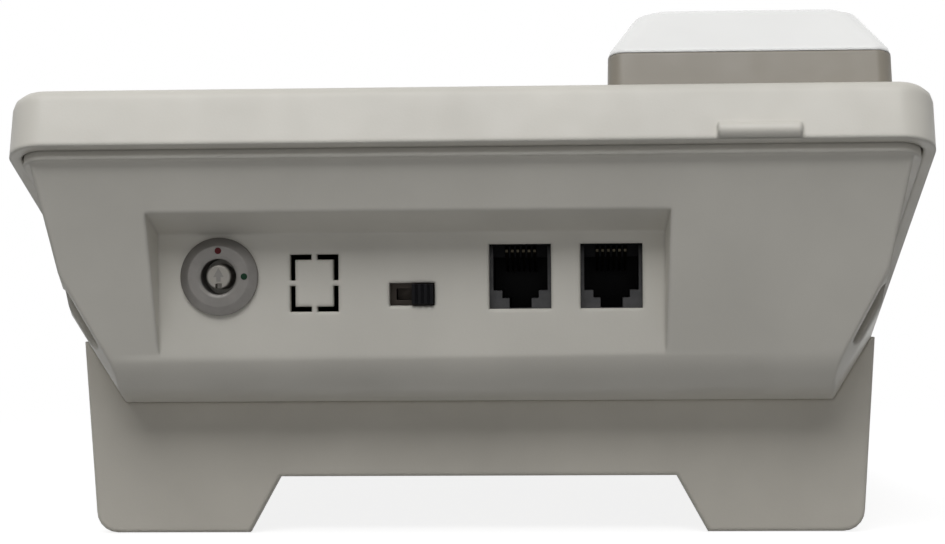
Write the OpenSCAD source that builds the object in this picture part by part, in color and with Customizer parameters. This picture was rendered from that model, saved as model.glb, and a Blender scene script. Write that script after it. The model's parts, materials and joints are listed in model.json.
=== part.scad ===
// Corded desk telephone on a wedge stand: a two-part housing with a socket panel at the rear,
// a handset in its bay, push keys on the deck and the pieces inside.
// Millimetres. Z is up, +Y points to the rear, +X is the user's right.
// The deck frame has its origin in the middle of the top shell's lower edge:
// x across, v to the rear along the tilted deck, w along the deck's normal.

/* [Housing] */
// Tilt of the deck, degrees
tilt = 20; // [12:0.5:26]
// Width of the top shell
shell_w = 164; // [158:1:190]
// Length of the top shell along the deck
shell_l = 184; // [182:1:210]
// Height of the top shell
shell_h = 11.4; // [10.8:0.1:14]
// Corner radius of the top shell in plan
shell_r = 7; // [6:0.5:16]
// Rounding of the top shell's upper edge
shell_edge = 2.6; // [1:0.1:3]
// Wall of the top shell
shell_wall = 2.2; // [1.6:0.1:3]
// Thickness of the deck plate
deck_t = 2.4; // [1.8:0.1:3]
// Height of the top shell's front lower edge above the desk
front_lip_z = 8.67; // [8:0.01:14]
// Step from the top shell's side in to the base's side
rim_inset = 2.6; // [2.4:0.1:4]
// Height of the base's rim inside the top shell
rim_lip = 1.6; // [0.8:0.1:2.2]
// Wall of the base shell
base_wall = 2.2; // [1.6:0.1:2.6]
// Height of the ring that runs round the base under the rim
ring_h = 1.6; // [1:0.1:2.4]
// Step from that ring in to the base's wall
ring_in = 1.6; // [0.8:0.1:2]
// Depth of the base's bend below the rim
bend_d = 17.5; // [14:0.5:19]
// Inset of the base's bend from the top shell's side
bend_in = 7.6; // [6:0.1:9]
// Depth of the lower bend, where the side turns under
low_d = 22.5; // [20.5:0.1:24]
// Inset of the lower bend from the top shell's side
low_in = 8.6; // [7.8:0.1:10]
// Inset of the base at its deepest section
keel_in = 20; // [18:0.1:22]
// Height of the crease, where the rear wall turns in
crease_z = 34.8; // [32:0.1:38]
// Distance of the bottom's rear end in front of the crease
keel_run = 10.3; // [6:0.1:14]
// Height of the bottom there
keel_z = 25.6; // [22:0.1:30]
// Radius of the belly between the rear wall and the bottom
belly_r = 13; // [6:0.5:13.5]
// Slope of the bottom, degrees
bottom_slope = 8.8; // [7:0.1:9]
// Run of the front wall
front_run = 2; // [1:0.1:4]
// Radius of the half-round bead on the rear of the top shell
bead_r = 1.4; // [0.8:0.1:2]
// Length of the bead
bead_l = 14.5; // [8:0.5:24]
// Half-width of the hollows at the rear lower corners of the base
scoop_r = 1.5; // [1:0.1:1.8]
// Depth of the hollows
scoop_d = 3.4; // [2:0.1:4.5]
// Distance of the hollows' middle line from the rear wall
scoop_back = 2.4; // [2:0.1:3]
// Forward run of the slanting cuts that carry the hollows
cut_run = 5; // [4:0.1:6]
// Inward shift of the slanting cuts' lower ends
cut_in = 1.7; // [1:0.1:2.5]

/* [Socket panel] */
// Distance of the panel in front of the top shell's rear lower edge
panel_setback = 15.5; // [13:0.1:18]
// Thickness of the panel
panel_t = 2.2; // [1.6:0.1:2.6]
// Left end of the recess, seen by the user
recess_x0 = -34.8; // [-38:0.1:-33]
// Right end of the recess
recess_x1 = 57; // [55.5:0.1:60]
// Top of the panel
panel_top = 56; // [55:0.1:58]
// Rise of the recess ceiling towards the rear, millimetres per millimetre
ceiling_rise = 0.42; // [0.2:0.02:0.5]
// Draft of the recess ends, millimetres per millimetre
end_draft = 0.09; // [0.02:0.01:0.2]
// Top face of the line board, which the sockets stand on
board_z = 41.3; // [40.8:0.1:41.8]
// Thickness of every board
board_t = 1.6; // [1:0.1:2]

/* [Line sockets] */
// Middle of the outgoing line socket
out_x = -8.7; // [-9.5:0.1:-8]
// Middle of the incoming line socket
in_x = -25.2; // [-26:0.1:-24]
// Width of a socket's panel hole
socket_hole_w = 11.2; // [10.6:0.1:12]
// Height of a socket's panel hole
socket_hole_h = 11.7; // [11.2:0.1:12]
// Width of a socket's body
socket_w = 13.2; // [12.6:0.1:15]
// Height of a socket's body
socket_h = 13.4; // [13:0.1:14]
// Length of a socket's body
socket_l = 16; // [14:0.1:18]
// Width of the plug cavity of a line socket
plug_w = 9.86; // [9.7:0.02:10]
// Height of the plug cavity
plug_h = 8.2; // [7.6:0.1:8.4]
// Depth of the plug cavity
plug_d = 11.5; // [10:0.1:12.5]
// Width of the latch step below the cavity
latch_w = 6.6; // [6:0.1:7]
// Height of the latch step
latch_h = 1.4; // [1:0.1:1.6]
// Width of the latch groove
groove_w = 4; // [3.4:0.1:4.4]
// Height of the latch groove
groove_h = 1.8; // [1:0.1:1.9]
// Pitch of the contact wires
contact_pitch = 1.02; // [1:0.01:1.1]
// Thickness of a contact wire
contact_t = 0.46; // [0.3:0.02:0.5]

/* [Mode switch] */
// Middle of the switch window
switch_x = 10.9; // [10:0.1:11.5]
// Width of the switch window
window_w = 8.2; // [7.6:0.1:9]
// Height of the switch window
window_h = 4.1; // [3.6:0.1:4.6]
// Middle height of the switch window
window_z = 44.85; // [44.4:0.05:45.4]
// Width of the knob
knob_w = 3.9; // [3:0.1:4.4]
// Gap around the knob in its window
knob_gap = 0.2; // [0.1:0.05:0.4]
// How far the knob stands out of the panel
knob_out = 0.8; // [0.4:0.1:1.5]

/* [Key lock] */
// Middle of the lock
lock_x = 45.9; // [45:0.1:47]
// Height of the lock's axis
lock_z = 48.3; // [48:0.1:48.8]
// Diameter of the lock's flange
lock_flange_d = 14.2; // [13.6:0.1:15]
// Height of the flange above the panel
lock_flange_h = 1.8; // [1:0.1:2.4]
// Diameter of the barrel
lock_barrel_d = 11.8; // [11:0.1:12.2]
// Length of the barrel behind the panel
lock_barrel_l = 13; // [11:0.5:16]
// Diameter of the ring-shaped key way
keyway_d = 6.4; // [6:0.1:7]
// Diameter of the plug's pin
lock_pin_d = 4.5; // [4:0.1:5]
// Depth of the key way
keyway_l = 6; // [5:0.5:7]
// Diameter of the plug's drum behind the key way
lock_drum_d = 8; // [7.4:0.1:8.6]
// Width of the lock nut across its flats
nut_af = 15; // [14:0.5:15.5]
// Thickness of the lock nut
nut_t = 2.6; // [2:0.1:3]
// Radial clearance of turning pieces
turn_gap = 0.1; // [0.05:0.01:0.15]

/* [Blanked inlet] */
// Middle of the knock-out
blank_x = 28.65; // [28:0.05:29]
// Middle height of the knock-out
blank_z = 47; // [46:0.1:48]
// Width over the slots
blank_w = 8.8; // [8:0.1:9.6]
// Height over the slots
blank_h = 10.4; // [9:0.1:11]
// Width of the slots
blank_slot = 0.95; // [0.6:0.05:1.2]
// Width of the bridges between the slots
blank_bridge = 1; // [0.6:0.05:1.4]

/* [Stand] */
// Distance of the stand's rear plate in front of the panel
stand_setback = 16; // [14.5:0.5:20]
// Length of the stand
stand_l = 74; // [60:1:84]
// Inset of the stand's sides from the top shell's side, at the desk
stand_in0 = 9.8; // [9:0.1:12]
// Inset of the stand's sides at the height stand_ref_z
stand_in1 = 7.7; // [7:0.1:8.2]
// Height where stand_in1 is measured
stand_ref_z = 36; // [30:1:40]
// Wall of the stand
stand_wall = 2.4; // [1.8:0.1:3]
// Height of the cut-out between the legs
cutout_z = 10.5; // [8:0.1:14]
// Half-width of the cut-out at its top
cutout_x1 = 37.2; // [30:0.1:42]
// Half-width of the cut-out at the desk
cutout_x0 = 43; // [38:0.1:50]
// Length of the legs' soles
sole_l = 18; // [12:1:26]
// Radius of the legs' outer lower corners
leg_r = 4; // [2:0.5:6]
// Height of the stand's front end below the base
stand_front_h = 7; // [5:0.5:9]
// Diameter of the front feet
foot_d = 13; // [8:0.5:16]

/* [Handset] */
// Distance of the handset's middle from the top shell's left side
hs_edge = 32.1; // [31:0.1:33]
// Middle of the handset along the deck
hs_v = 0.4; // [-1:0.1:0.8]
// Width of the handset
hs_w = 50.2; // [48:0.1:51]
// Distance of the handset's ends from the top shell's ends
hs_end = 4; // [3.8:0.1:6]
// Corner radius of the handset
hs_r = 3; // [2.6:0.1:4]
// Height of the parting line above the deck frame's origin
hs_part_w = 18.4; // [18:0.1:20.5]
// Height of the upper handset shell
hs_crown_h = 11; // [9:0.1:12.5]
// Inward lean of the crown's sides
hs_crown_in = 4.6; // [3:0.1:7]
// Underside of the grip
grip_w = 13; // [12.6:0.1:13.4]
// Wall of the handset shells
hs_wall = 2; // [1.6:0.1:2.4]
// Length of the handset's end blocks
block_l = 45; // [44.5:0.5:48]
// Width of the ear and mouth cups
cup_w = 43; // [40:0.5:43.5]
// Length of the cups
cup_l = 36; // [35.5:0.5:38]
// Distance of the cups from the handset's ends
cup_set = 7.6; // [7.2:0.1:8]
// Gap around the handset in its bay
bay_gap = 0.6; // [0.4:0.05:0.8]
// Floor of the handset bay
bay_floor = 4.4; // [4.2:0.1:4.8]
// Floor of the wells for the cups
well_floor = -0.4; // [-0.8:0.1:0]
// Wall of the bay and the wells
bay_wall = 2; // [1.4:0.1:2]
// Gap under the cups
rest_gap = 0.2; // [0.1:0.05:0.4]
// Length of the finger opening beside the grip
finger_l = 64; // [40:1:80]

/* [Keys] */
// Distance of the key field's middle from the top shell's right side
pad_edge = 52.5; // [51.5:0.5:54]
// Middle of the first row of dialling keys
pad_v = -12; // [-14:0.5:-11]
// Spacing of the keys across the deck
key_pitch_x = 18; // [17.5:0.1:19]
// Spacing of the rows
key_pitch_v = 14; // [13:0.1:14.4]
// Width of a key
key_w = 14; // [11:0.1:14.4]
// Length of a dialling key
key_l = 10; // [7:0.1:10.4]
// Length of a function key
soft_l = 6.5; // [5:0.1:8]
// Middle of the rear row of function keys
soft_v = 21; // [18:0.5:23]
// Corner radius of a key
key_r = 1.8; // [0.8:0.1:2.4]
// How far a key stands out of the deck
key_out = 2.4; // [1.6:0.1:3.5]
// Gap around a key in its hole
key_gap = 0.35; // [0.25:0.05:0.5]
// Flange of a key under the deck
key_flange = 1.2; // [0.8:0.1:1.3]
// Thickness of that flange
flange_t = 1.1; // [0.8:0.1:1.3]
// Travel of a key
key_travel = 1.2; // [0.6:0.1:1.3]

/* [Display and boards] */
// Width of the display lens
lens_w = 60; // [50:0.5:62]
// Length of the display lens
lens_l = 30; // [24:0.5:30]
// Distance of the display's middle from the top shell's rear end
lens_back = 32.5; // [30:0.5:32.5]
// Thickness of the display lens
lens_t = 1.4; // [1:0.1:1.6]
// Ledge that carries the lens
lens_ledge = 3; // [2:0.1:4]
// Fit gap around pieces set into a pocket
fit_gap = 0.15; // [0.1:0.01:0.25]
// Distance of the keypad board from the handset
board_off = 10.8; // [9.8:0.1:11.5]
// Distance of the keypad board from the top shell's right side
board_side = 10; // [8:0.5:11]
// Distance of the keypad board from the top shell's front end
board_front = 24; // [23:0.5:26]
// Distance of the keypad board from the top shell's rear end
board_back = 10; // [9:0.5:12]
// Length of the line board
line_board_l = 42; // [38:0.5:44]
// Diameter of the ringer speaker
speaker_d = 40; // [32:0.5:41]
// Depth of the ringer speaker
speaker_h = 14; // [11:0.5:16]

/* [Fasteners] */
// Inset of the housing screws from the top shell's sides
post_in = 19; // [18.5:0.5:20]
// Place of the rear pair of housing screws along the deck
post_v1 = 38; // [36:0.5:38.5]
// Distance of the front pair of housing screws from the top shell's front end
post_front = 16; // [15:0.5:17]
// Diameter of a housing screw
screw_d = 3; // [2.5:0.1:3.4]
// Diameter of a board screw
small_d = 2.2; // [1.8:0.1:2.5]
// Radial clearance of screws in their holes
screw_gap = 0.05; // [0.03:0.01:0.15]

/* [Hidden] */
$fn = 48;
far = 200;
half_w = shell_w / 2;
half_l = shell_l / 2;
deck_z = front_lip_z + half_l * sin(tilt);
bend_x = half_w - bend_in;
low_x = half_w - low_in;
keel_x = half_w - keel_in;
stand_x0 = half_w - stand_in0;
stand_x1 = half_w - stand_in1;
hs_x = hs_edge - half_w;
hs_l = shell_l - 2 * hs_end;
pad_x = half_w - pad_edge;
pad_x0 = hs_x + hs_w / 2 + board_off;
pad_x1 = half_w - board_side;
pad_v0 = board_front - half_l;
pad_v1 = half_l - board_back;
lens_v = half_l - lens_back;
post_x = half_w - post_in;
post_v0 = post_front - half_l;
bead_w = bead_r + 0.2;
bead_sink = 0.2;
bead_x = hs_x - 1;
front_reach = (half_l - shell_edge) * cos(tilt) + (shell_h - shell_edge) * sin(tilt) + shell_edge;
rear_reach = max(half_l * cos(tilt), (half_l - bead_sink) * cos(tilt) - bead_w * sin(tilt) + bead_r);
deck_y = (front_reach - rear_reach) / 2;
deck_low = shell_h - deck_t;

// Points of the base in the side view and in the section across the deck.
rim_x = half_w - rim_inset;
rim_v = half_l - rim_inset;
rim_r = shell_r - rim_inset;
panel_y = deck_y + half_l * cos(tilt) - panel_setback;
crease_y = panel_y + 0.3;
keel_y = crease_y - keel_run;
function deck_yz(v, w) = [deck_y + v * cos(tilt) - w * sin(tilt), deck_z + v * sin(tilt) + w * cos(tilt)];
function deck_v(y, z) = (y - deck_y) * cos(tilt) + (z - deck_z) * sin(tilt);
function deck_w(y, z) = (z - deck_z) * cos(tilt) - (y - deck_y) * sin(tilt);
crease_d = -deck_w(crease_y, crease_z);
section_d = low_d + 17.5;
wall_v = rim_v - ring_in;
wall_x = rim_x - ring_in;
function bottom_z(y) = keel_z - (keel_y - y) * tan(bottom_slope);
front_y = deck_yz(-wall_v, -ring_h)[0] + front_run;
function side_profile(top) = concat([deck_yz(rim_v, top), deck_yz(rim_v, -ring_h), deck_yz(wall_v, -ring_h)],
    belly_points, [[front_y, bottom_z(front_y)], deck_yz(-wall_v, -ring_h), deck_yz(-rim_v, -ring_h),
    deck_yz(-rim_v, top)]);
function section_profile(top) = [[rim_x, top], [rim_x, -ring_h], [wall_x, -ring_h], [bend_x, -bend_d],
    [low_x, -low_d], [keel_x, -section_d], [-keel_x, -section_d], [-low_x, -low_d], [-bend_x, -bend_d],
    [-wall_x, -ring_h], [-rim_x, -ring_h], [-rim_x, top]];

// Round corner of radius r at q, between the lines from a and to b.
function unit(d) = d / norm(d);
function round_corner(a, q, b, r, n) = let (u = unit(a - q), v = unit(b - q), h = acos(u * v) / 2,
    c = q + unit(u + v) * r / sin(h), p = q + u * r / tan(h) - c, a0 = atan2(p[1], p[0]))
    [for (i = [0:n]) c + r * [cos(a0 - i * (180 - 2 * h) / n), sin(a0 - i * (180 - 2 * h) / n)]];
wall_top = deck_yz(wall_v, -ring_h);
wall_lean = (wall_top[0] - crease_y) / (wall_top[1] - crease_z);
corner_z = (keel_z - (keel_y - crease_y + wall_lean * crease_z) * tan(bottom_slope)) / (1 - wall_lean * tan(bottom_slope));
corner_y = crease_y + wall_lean * (corner_z - crease_z);
belly_points = round_corner(wall_top, [corner_y, corner_z], [keel_y, keel_z], belly_r, 8);

// Moves every side of a clockwise outline inwards by t.
function outward(a, b) = let (d = unit(b - a)) [-d[1], d[0]];
function inset(p, t) = [for (i = [0:len(p) - 1])
    let (n = len(p), b = p[i], m = outward(p[(i + n - 1) % n], b), k = outward(b, p[(i + 1) % n]))
    b - t * (m + k) / (1 + m * k)];

// Slanting cut at each rear lower corner, through the rear wall's edge and a point in front of it.
crease_v = deck_v(crease_y, crease_z);
function wall_at(d) = wall_v + (crease_v - wall_v) * (d - ring_h) / (crease_d - ring_h);
function under_x(d) = low_x - (low_x - keel_x) * (d - low_d) / (section_d - low_d);
cut_a = [bend_x, wall_at(bend_d), -bend_d];
cut_b = [under_x(crease_d) - cut_in, wall_at(crease_d), -crease_d];
cut_c = [low_x, wall_at(low_d) - cut_run, -low_d];
cut_l = norm(cut_b - cut_a);
cut_out = unit(cross(cut_c - cut_a, cut_b - cut_a));
cut_lean = acos(cut_out[2]);
cut_yaw = atan2(cut_out[1], cut_out[0]);
cut_down = [cos(cut_lean) * cos(cut_yaw), cos(cut_lean) * sin(cut_yaw), -sin(cut_lean)];
cut_side = [-sin(cut_yaw), cos(cut_yaw), 0];
cut_turn = atan2((cut_b - cut_a) * cut_side, (cut_b - cut_a) * cut_down);
scoop_l = 0.76 * cut_l;
scoop_mid = 0.58 * cut_l;

// Levels of the key stack, from the deck down.
flange_top = deck_low - 0.3;
mat_top = flange_top - flange_t - key_travel - 0.1;
mat_t = 0.8;
dome_h = 0.6;
pad_top = mat_top - mat_t - dome_h;
module_t = 3.6;

// Levels of the housing screws.
seat_w = -4;
tube_seat = 2.7;
screw_l = 5;
post_d = 7.5;
tube_d = 9;
head_d = 5.6;
head_h = 1.9;

// Handset, wells and bay.
cup_off = hs_l / 2 - cup_set - cup_l / 2;
cup_low = well_floor + rest_gap;
block_low = bay_floor + 0.6;
bay_w = hs_w + 2 * bay_gap;
bay_l = hs_l + 2 * bay_gap;
well_gap = bay_gap + 0.2;
well_w = cup_w + 2 * well_gap;
well_l = cup_l + 2 * well_gap;
hs_screw_v = 26;
receiver_d = cup_l - 4;
receiver_h = 6;
magnet_d = 14;
magnet_h = 3;

// Hook plunger, from the well's floor down.
hook_x = hs_x - 8;
hook_v = hs_v + cup_off - 10;
hook_s = 6;
hook_travel = 5;
hook_gap = 0.3;
hook_top = cup_low - 0.3;
hook_tube = -8.5;
hook_foot = hook_tube - hook_travel - 0.3;
hook_foot_t = 2;
hook_switch_top = hook_foot - hook_foot_t - 0.2;
hook_switch_h = 6;

// Handset cord sockets: the base's one looks out of the left side, the handset's one out of its front end.
cord_v = 26.5;
cord_w = -7.6;
cord_body_w = 11;
cord_body_h = 9.4;
cord_body_l = 14;
cord_plug_w = 7.7;
cord_plug_h = 6.6;
cord_plug_d = 9;
cord_side_x = wall_x - (wall_x - bend_x) * (cord_body_h / 2 - cord_w - ring_h) / (bend_d - ring_h);
cord_face_x = -(cord_side_x - base_wall - 0.6);
hs_cord_w = block_low + hs_wall + cord_body_h / 2;
notch_w = 12;

// Line board and the pieces on it.
board_x0 = in_x - socket_w / 2 - 5;
board_x1 = switch_x + window_w / 2 + 7;
board_y1 = panel_y - panel_t - 0.3;
board_y0 = board_y1 - line_board_l;
socket_y = panel_y - panel_t - 0.1;
board_post_d = 6;
board_post_y = board_y0 + 5;
hole_z = board_z + 0.8;
knob_travel = window_w - knob_w - 2 * knob_gap;
knob_x = switch_x - window_w / 2 + knob_gap + knob_w / 2;
stem_w = 1.6;
switch_body_w = window_w + 1.6;
switch_body_h = window_z + window_h / 2 + 0.9 - board_z;
switch_body_d = 4;

stand_y = panel_y - stand_setback;
stand_front = stand_y - stand_l;
stand_slope = (stand_x1 - stand_x0) / stand_ref_z;
stand_top = 52;

// Frames and small forms used by several pieces.
module deck() {
    translate([0, deck_y, deck_z]) rotate([tilt, 0, 0]) children();
}

module rounded_rect(w, l, r) {
    square([w - 2 * r, l], center = true);
    square([w, l - 2 * r], center = true);
    for (sx = [-1, 1], sy = [-1, 1]) translate([sx * (w / 2 - r), sy * (l / 2 - r)]) circle(r);
}

module rounded_plate(w, l, h, r) {
    linear_extrude(h) rounded_rect(w, l, r);
}

module box(x0, x1, y0, y1, z0, z1) {
    translate([x0, y0, z0]) cube([x1 - x0, y1 - y0, z1 - z0]);
}

module side_prism(points, width) {
    rotate([90, 0, 90]) linear_extrude(width, center = true) polygon(points);
}

module countersunk(d, l, hd, hh) {
    translate([0, 0, -hh]) cylinder(d = hd, h = hh);
    cylinder(d = d, h = l);
}

module at_posts() {
    for (sx = [-1, 1], v = [post_v0, post_v1]) translate([sx * post_x, v, 0]) children();
}

module at_pad_screws() {
    for (x = [pad_x0 + 4, pad_x1 - 4], v = [pad_v0 + 5, pad_v1 - 5]) translate([x, v, 0]) children();
}

module at_board_posts() {
    for (x = [board_x0 + 5, board_x1 - 5]) translate([x, board_post_y, 0]) children();
}

module at_cups() {
    for (s = [-1, 1]) translate([hs_x, hs_v + s * cup_off, 0]) children();
}

// Solid form of the base, its sides moved in by t and its rim raised to top.
module base_form(t, top) {
    intersection() {
        side_prism(inset(side_profile(top), t), 2 * shell_w);
        deck() rotate([90, 0, 0]) linear_extrude(2 * shell_l, center = true)
            polygon(inset(section_profile(top), t));
        deck() translate([0, 0, -far / 2]) rounded_plate(2 * (rim_x - t), 2 * (rim_v - t), far, rim_r - t);
    }
}

module recess_cut() {
    deep = 30;
    intersection() {
        side_prism([[panel_y, crease_z - 4], [panel_y, panel_top],
            [panel_y + deep, panel_top + deep * ceiling_rise], [panel_y + deep, crease_z - 4]], 2 * shell_w);
        linear_extrude(far) polygon([[recess_x0, panel_y - 1], [recess_x1, panel_y - 1],
            [recess_x1 + deep * end_draft, panel_y + deep], [recess_x0 - deep * end_draft, panel_y + deep]]);
    }
}

// Material that closes the recess to the inside: panel, ends and ceiling.
module recess_skin() {
    skin = panel_t + 1;
    box(recess_x0 - skin, recess_x1 + skin, panel_y - panel_t, panel_y + 40, crease_z - 7,
        panel_top + 9 * ceiling_rise + panel_t);
}

module panel_holes() {
    y0 = panel_y - panel_t - 1;
    y1 = panel_y + 1;
    translate([lock_x, y1, lock_z]) rotate([90, 0, 0]) cylinder(d = lock_barrel_d + 2 * turn_gap, h = y1 - y0);
    for (x = [out_x, in_x])
        box(x - socket_hole_w / 2, x + socket_hole_w / 2, y0, y1, hole_z, hole_z + socket_hole_h);
    box(switch_x - window_w / 2, switch_x + window_w / 2, y0, y1, window_z - window_h / 2, window_z + window_h / 2);
    difference() {
        box(blank_x - blank_w / 2, blank_x + blank_w / 2, y0, y1, blank_z - blank_h / 2, blank_z + blank_h / 2);
        box(blank_x - blank_w / 2 + blank_slot, blank_x + blank_w / 2 - blank_slot, y0 - 1, y1 + 1,
            blank_z - blank_h / 2 + blank_slot, blank_z + blank_h / 2 - blank_slot);
        box(blank_x - blank_w, blank_x + blank_w, y0 - 1, y1 + 1,
            blank_z - blank_bridge / 2, blank_z + blank_bridge / 2);
        box(blank_x - blank_bridge / 2, blank_x + blank_bridge / 2, y0 - 1, y1 + 1,
            blank_z - blank_h, blank_z + blank_h);
    }
}

// Places its children on the slanting cuts: first axis down the rear wall's edge, third axis outwards.
module at_corners() {
    for (s = [0, 1]) mirror([s, 0, 0]) translate(cut_a) rotate([0, cut_lean, cut_yaw]) rotate([0, 0, cut_turn])
        children();
}

// Everything outside the slanting cuts, moved inwards by t.
module corner_cuts(t) {
    at_corners() translate([-far / 2, -far / 2, -t]) cube(far);
}

// Oblong hollow sunk into each slanting cut, grown by t on every side.
module scoops(t) {
    at_corners() translate([scoop_mid, -scoop_back, -scoop_d - t]) linear_extrude(scoop_d + t + 20) {
        square([scoop_l - 2 * scoop_r, 2 * (scoop_r + t)], center = true);
        for (e = [-1, 1]) translate([e * (scoop_l / 2 - scoop_r), 0]) circle(scoop_r + t);
    }
}

// Everything that stands up from the base's floor inside.
module base_posts() {
    intersection() {
        base_form(0, rim_lip);
        union() {
            at_board_posts() cylinder(d = board_post_d, h = board_z - board_t);
            deck() {
                at_posts() translate([0, 0, seat_w - far]) cylinder(d = tube_d, h = far);
                box(hook_x - 6, hook_x + 6, hook_v - 5, hook_v + 5, -far, hook_switch_top - hook_switch_h);
                box(cord_face_x, cord_face_x + cord_body_l, cord_v - cord_body_w / 2, cord_v + cord_body_w / 2,
                    -far, cord_w - cord_body_h / 2);
                corner_cuts(base_wall);
                scoops(base_wall);
            }
        }
    }
}

module base_shell() {
    color("gainsboro") difference() {
        union() {
            difference() {
                base_form(0, rim_lip);
                base_form(base_wall, rim_lip + 20);
            }
            intersection() {
                base_form(0, rim_lip);
                recess_skin();
            }
            base_posts();
        }
        recess_cut();
        panel_holes();
        at_board_posts() translate([0, 0, board_z - board_t - 7]) cylinder(d = small_d + 2 * screw_gap, h = 10);
        deck() {
            at_posts() {
                translate([0, 0, seat_w - far]) cylinder(d = screw_d + 0.4, h = far + 1);
                translate([0, 0, seat_w - tube_seat - far]) cylinder(d = head_d + 0.6, h = far);
            }
            corner_cuts(0);
            scoops(0);
            box(-half_w, cord_face_x + 0.1, cord_v - cord_plug_w / 2 - 0.6, cord_v + cord_plug_w / 2 + 0.6,
                cord_w - cord_plug_h / 2 - 0.6, cord_w + cord_plug_h / 2 + 0.6);
        }
    }
}

// Plate with a rounded upper edge.
module soft_plate(w, l, h, r, e) {
    hull() {
        linear_extrude(h - e) rounded_rect(w, l, r);
        for (a = [30, 60, 90])
            linear_extrude(h - e + e * sin(a)) rounded_rect(w - 2 * e * (1 - cos(a)), l - 2 * e * (1 - cos(a)),
                r - e * (1 - cos(a)));
    }
}

module at_keys() {
    for (r = [0:3], c = [-1:1]) translate([pad_x + c * key_pitch_x, pad_v - r * key_pitch_v, 0])
        children(0);
    for (r = [0:1], c = [-1:1]) translate([pad_x + c * key_pitch_x, soft_v - r * key_pitch_v, 0])
        children(1);
}

// Walls of the handset bay, its two wells and the tubes below them.
module bay_walls() {
    translate([hs_x, hs_v, bay_floor - bay_wall])
        rounded_plate(bay_w + 2 * bay_wall, bay_l + 2 * bay_wall, deck_low - bay_floor + bay_wall + 0.5, hs_r + bay_wall);
    at_cups() translate([0, 0, well_floor - bay_wall])
        rounded_plate(well_w + 2 * bay_wall, well_l + 2 * bay_wall, bay_floor - well_floor, hs_r);
    translate([hs_x, hs_v, bay_floor - bay_wall - 5]) cylinder(d = speaker_d + 5, h = 5.5);
    translate([hook_x, hook_v, hook_tube]) linear_extrude(well_floor - bay_wall - hook_tube + 0.5)
        square(hook_s + 5, center = true);
    box(-half_w + 0.5, hs_x - hs_w / 2, hs_v - finger_l / 2 - bay_wall, hs_v + finger_l / 2 + bay_wall,
        bay_floor - bay_wall, deck_low + 0.5);
}

module bay_cut() {
    translate([hs_x, hs_v, bay_floor]) rounded_plate(bay_w, bay_l, far, hs_r + bay_gap);
    at_cups() translate([0, 0, well_floor]) rounded_plate(well_w, well_l, far, hs_r - 1);
    translate([hs_x, hs_v, bay_floor - bay_wall - far]) cylinder(d = speaker_d + 2 * fit_gap, h = far);
    translate([hook_x, hook_v, -far / 2]) linear_extrude(far) square(hook_s + 2 * hook_gap, center = true);
    for (i = [-3:3]) translate([hs_x + i * 4.4, hs_v, 0]) rounded_plate(2, 26, 10, 0.9);
    box(-half_w - 1, hs_x, hs_v - finger_l / 2, hs_v + finger_l / 2, bay_floor, far);
    translate([hs_x, -half_l, hs_cord_w - cord_plug_h / 2 - 1]) translate([-notch_w / 2, -5, 0])
        cube([notch_w, half_l - (bay_l / 2 - hs_v) + 6, 20]);
}

module top_shell() {
    color("whitesmoke") deck() difference() {
        union() {
            difference() {
                soft_plate(shell_w, shell_l, shell_h, shell_r, shell_edge);
                translate([0, 0, -1]) rounded_plate(shell_w - 2 * shell_wall, shell_l - 2 * shell_wall, deck_low + 1,
                    shell_r - shell_wall);
            }
            bay_walls();
            at_posts() translate([0, 0, seat_w]) cylinder(d = post_d, h = bay_floor - seat_w - 0.5);
            for (v = [post_v0, post_v1]) translate([post_x, v, seat_w]) cylinder(d = post_d, h = deck_low - seat_w + 0.5);
            at_pad_screws() translate([0, 0, pad_top]) cylinder(d = 5, h = deck_low - pad_top + 0.5);
            translate([bead_x, half_l - bead_sink, bead_w]) rotate([0, 90, 0])
                cylinder(r = bead_r, h = bead_l, center = true);
        }
        bay_cut();
        at_posts() translate([0, 0, seat_w - 1]) cylinder(d = screw_d + 2 * screw_gap, h = screw_l - tube_seat + 1.2);
        at_pad_screws() translate([0, 0, pad_top - 1]) cylinder(d = small_d + 2 * screw_gap, h = 4.5);
        translate([pad_x, lens_v, shell_h - lens_t]) rounded_plate(lens_w + 2 * fit_gap, lens_l + 2 * fit_gap, 5, 2);
        translate([pad_x, lens_v, 0]) rounded_plate(lens_w - 2 * lens_ledge, lens_l - 2 * lens_ledge, far, 1);
        at_keys() {
            translate([0, 0, deck_low - 1]) rounded_plate(key_w + 2 * key_gap, key_l + 2 * key_gap, 10, key_r + key_gap);
            translate([0, 0, deck_low - 1]) rounded_plate(key_w + 2 * key_gap, soft_l + 2 * key_gap, 10, key_r + key_gap);
        }
    }
}

// Outline of the stand seen from the rear, with rounded outer corners on the legs.
function leg_arc(s) = [for (i = [0:5]) let (a = -90 + i * 18)
    [s * (stand_x0 - leg_r + leg_r * cos(a)), leg_r + leg_r * sin(a)]];
function reversed(p) = [for (i = [len(p) - 1:-1:0]) p[i]];

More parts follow.
